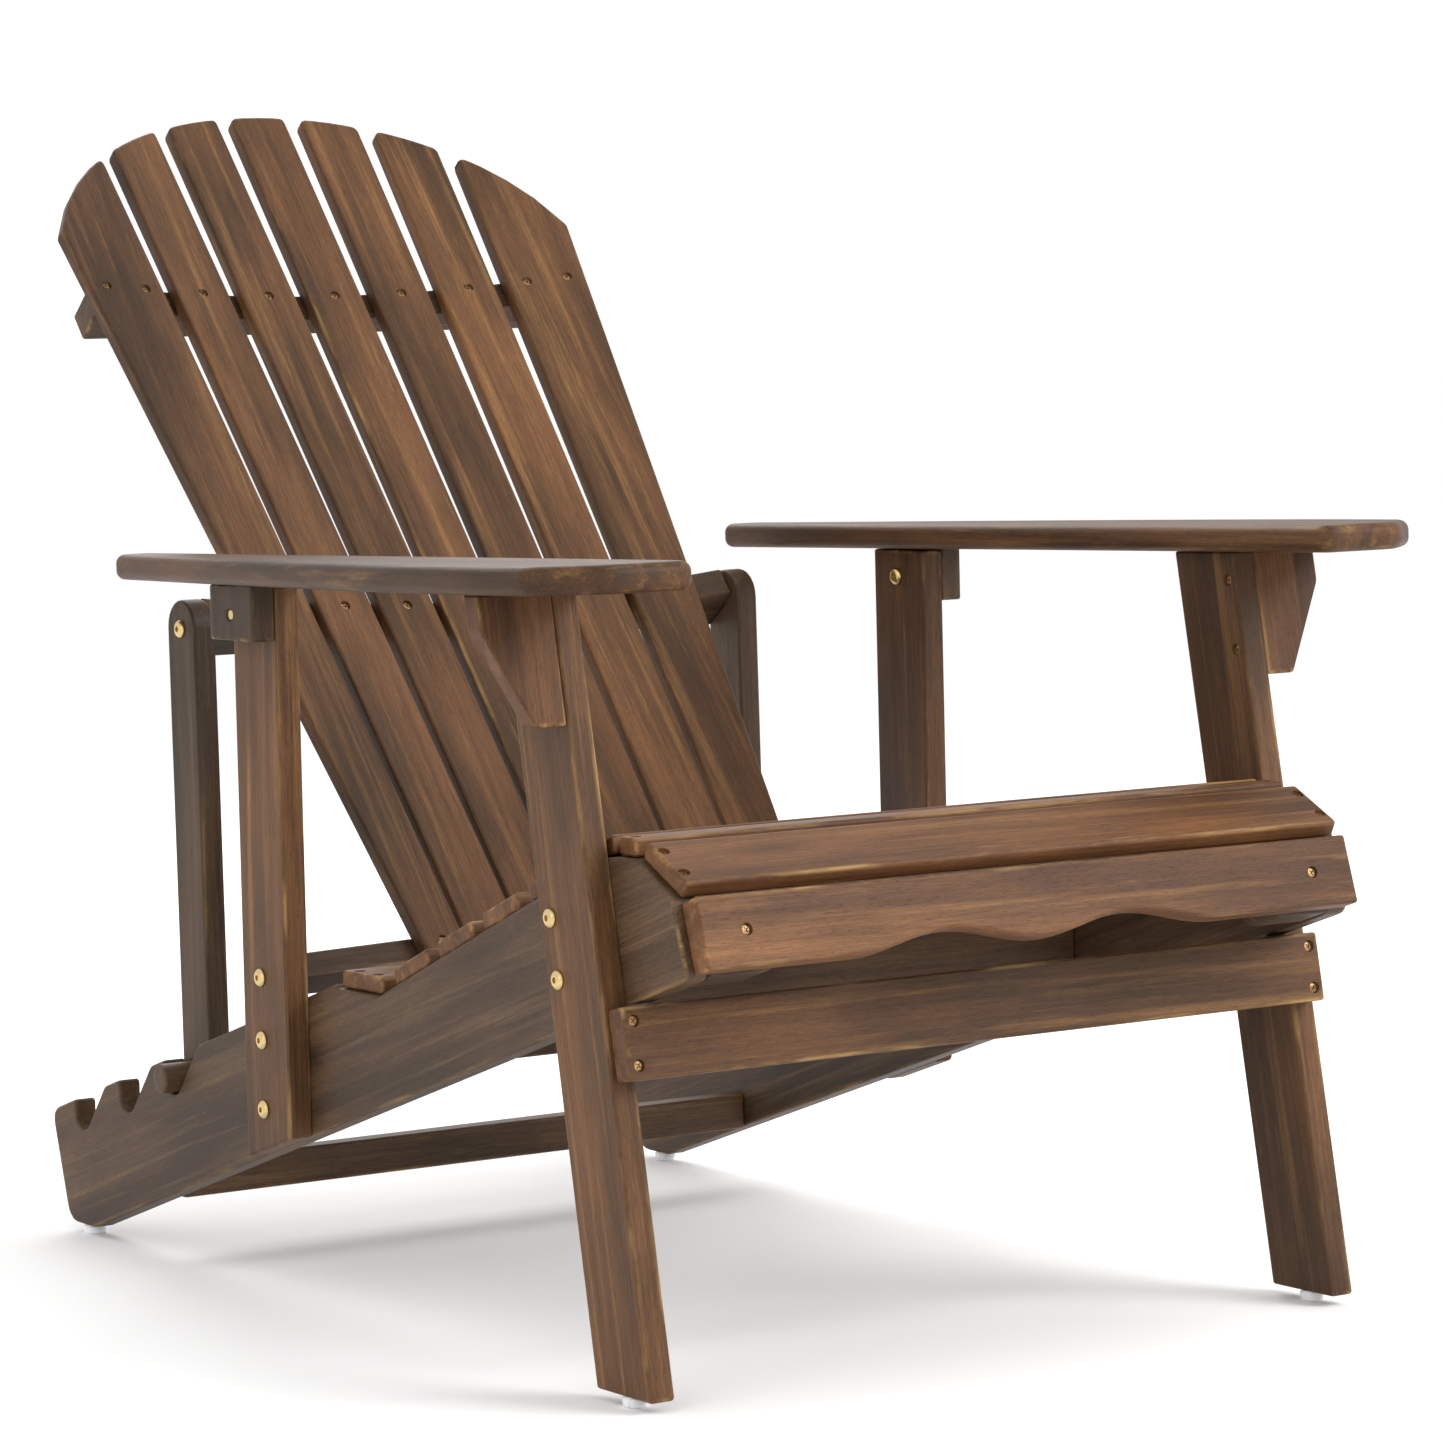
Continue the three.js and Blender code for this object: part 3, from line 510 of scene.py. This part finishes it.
screw = screw_mesh()
screw_data = screw.data
bpy.data.objects.remove(screw)
well_radius = SCREW_RADIUS + WELL_PLAY
well = as_mesh(lathe([(0, -WELL), (well_radius, -WELL), (well_radius, MM), (0, MM)]), "well")


def build_boards():
    """Every wooden node but the dowel, with its screws where it has any."""
    for node in sorted(nodes):
        if slot_of[node].endswith("wood") and node != "prop_dowel":
            board = make_board(node)
            spots = [spot for spot in screw_places(node) if spot]
            if spots:
                mouths = [Matrix.Translation(point) @ turned_to(normal) for point, normal in spots]
                cut(board, joined("wells", well, mouths))
                places = [Matrix.Translation(point - normal * SUNK) @ turned_to(normal)
                          @ Matrix.Rotation(draw.uniform(0, 3), 4, "Z") for point, normal in spots]
                heads = joined(node + "_screws", screw_data, places)
                smooth(heads.data)
                finish(heads, node, "brass_hardware", FINISH["screw"])
            smooth(board.data)
            flatten_faces(board)
            write_grain(board, board_axes(node))
            finish(board, node)
            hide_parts(node)


# ---- Round pieces ----
def bolt_piece(node):
    """Domed flange head with a hexagon socket and a plain shank. Arm-block heads face inward."""
    low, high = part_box(node)
    centre = (low + high) / 2
    side = -side_of(node) if "arm_block" in node else side_of(node)
    r = (high.z - low.z) / 2
    tip = high.x if side > 0 else low.x
    length = high.x - low.x
    profile = [(0, -length), (BOLT_SHANK - 0.3 * MM, -length), (BOLT_SHANK, -length + 0.4 * MM),
               (BOLT_SHANK, -BOLT_RISE), (r * 0.98, -BOLT_RISE), (r, -BOLT_RISE + 0.3 * MM),
               (r * 0.99, -BOLT_RISE + 0.9 * MM), (r * 0.86, -1.2 * MM), (r * 0.68, -0.35 * MM),
               (r * 0.52, 0), (0, 0)]
    piece = new_object(node + "_detail", as_mesh(lathe(profile, 40), node + "_detail"))
    hexagon = [(0, -BOLT_SOCKET), (BOLT_SOCKET, -2.3 * MM), (BOLT_SOCKET, MM), (0, MM)]
    cut(piece, new_object("socket", as_mesh(lathe(hexagon, 6), "socket")))
    direction = Vector((side, 0, 0))
    turn = Matrix.Rotation(draw.uniform(0, 1), 4, "Z")
    piece.data.transform(Matrix.Translation((tip, centre.y, centre.z)) @ turned_to(direction) @ turn)
    smooth(piece.data, math.radians(35))
    return piece


def glide_piece(node):
    """Round plastic foot with a soft lower rim and a shallow step under the wood."""
    low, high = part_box(node)
    centre = (low + high) / 2
    r = (high.x - low.x) / 2
    top = high.z - low.z
    profile = [(0, 0), (r - 1.6 * MM, 0), (r - 0.8 * MM, 0.15 * MM), (r - 0.2 * MM, 0.7 * MM), (r, 1.5 * MM),
               (r, top - 1.6 * MM), (r - 0.3 * MM, top - 1.1 * MM), (r - 1 * MM, top - 0.9 * MM),
               (r - 1 * MM, top), (0, top)]
    piece = new_object(node + "_detail", as_mesh(lathe(profile, 56), node + "_detail"))
    piece.data.transform(Matrix.Translation((centre.x, centre.y, low.z)))
    smooth(piece.data)
    return piece


def dowel_piece(node):
    """Turned rod with eased ends."""
    low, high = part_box(node)
    centre = (low + high) / 2
    r = (high.z - low.z) / 2
    half = (high.x - low.x) / 2
    ease = [(r - DOWEL_EASE + DOWEL_EASE * math.sin(a), half - DOWEL_EASE + DOWEL_EASE * math.cos(a))
            for a in (0, 0.4, 0.8, 1.2, math.pi / 2)]
    profile = [(0, -half)] + [(x, -z) for x, z in ease] + ease[::-1] + [(0, half)]
    piece = new_object(node + "_detail", as_mesh(lathe(profile, 64), node + "_detail"))
    piece.data.transform(Matrix.Translation(centre) @ Matrix.Rotation(math.pi / 2, 4, "Y"))
    smooth(piece.data)
    write_grain(piece, [Vector((1, 0, 0)), Vector((0, 1, 0)), Vector((0, 0, 1))])
    return piece


def build_round_pieces():
    """Every bolt, glide and dowel node."""
    makers = {"bolt": bolt_piece, "glide": glide_piece, "dowel": dowel_piece}
    for node in sorted(nodes):
        for word, maker in makers.items():
            if word in node:
                piece = finish(maker(node), node)
                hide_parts(node)


# ---- Camera, floor and light ----
def place_camera():
    """The camera's angles in degrees, its place in metres in the row frame, its lens in millimetres."""
    azimuth, elevation, roll = (math.radians(v) for v in (-33.3465, 3.1861, -1.3436))
    place = Vector((-2.26257, -3.12947 - 0.5519, 0.77929))
    back = Vector((math.sin(azimuth) * math.cos(elevation), -math.cos(azimuth) * math.cos(elevation),
                   math.sin(elevation)))
    level = Vector((math.cos(azimuth), math.sin(azimuth), 0))
    upright = back.cross(level)
    right = level * math.cos(roll) + upright * math.sin(roll)
    up = upright * math.cos(roll) - level * math.sin(roll)
    data = bpy.data.cameras.new("camera")
    data.sensor_width = 36
    data.lens = 131.501398
    data.shift_x = -0.03356401
    data.shift_y = -0.08477509
    data.clip_end = 50
    camera = bpy.data.objects.new("camera", data)
    camera.matrix_world = Matrix.Translation(place) @ Matrix((right, up, back)).transposed().to_4x4()
    bpy.context.scene.collection.objects.link(camera)
    bpy.context.scene.camera = camera


def build_floor():
    bm = bmesh.new()
    bmesh.ops.create_circle(bm, cap_ends=True, segments=96, radius=45)
    floor = new_object("floor", as_mesh(bm, "floor"))
    material = bpy.data.materials.new("pale_floor")
    t = Tree(material)
    t.set(Base_Color=(0.96, 0.96, 0.96, 1.0), Roughness=0.9, Specular_IOR_Level=0.1)
    floor.data.materials.append(material)


def area_light(name, place, target, size, power):
    data = bpy.data.lights.new(name, "AREA")
    data.shape = "DISK"
    data.size = size
    data.energy = power
    light = bpy.data.objects.new(name, data)
    light.location = place
    light.rotation_euler = (Vector(target) - Vector(place)).to_track_quat("-Z", "Y").to_euler()
    bpy.context.scene.collection.objects.link(light)


def build_light():
    """White surroundings and three large soft lamps."""
    world = bpy.data.worlds.new("studio")
    world.use_nodes = True
    background = world.node_tree.nodes["Background"]
    background.inputs["Color"].default_value = (1, 1, 1, 1)
    background.inputs["Strength"].default_value = 1.05
    bpy.context.scene.world = world
    area_light("key", (2.4, -3.6, 2.8), (0, 0, 0.4), 2.6, 135)
    area_light("fill", (-3.6, -1.6, 1.8), (0, 0, 0.5), 3.0, 14)
    area_light("rim", (1.0, 3.2, 2.8), (0, 0.2, 0.5), 2.4, 60)
    bpy.context.scene.view_settings.view_transform = "Standard"


place_camera()
build_floor()
build_light()
build_boards()
build_round_pieces()

bpy.context.view_layer.update()
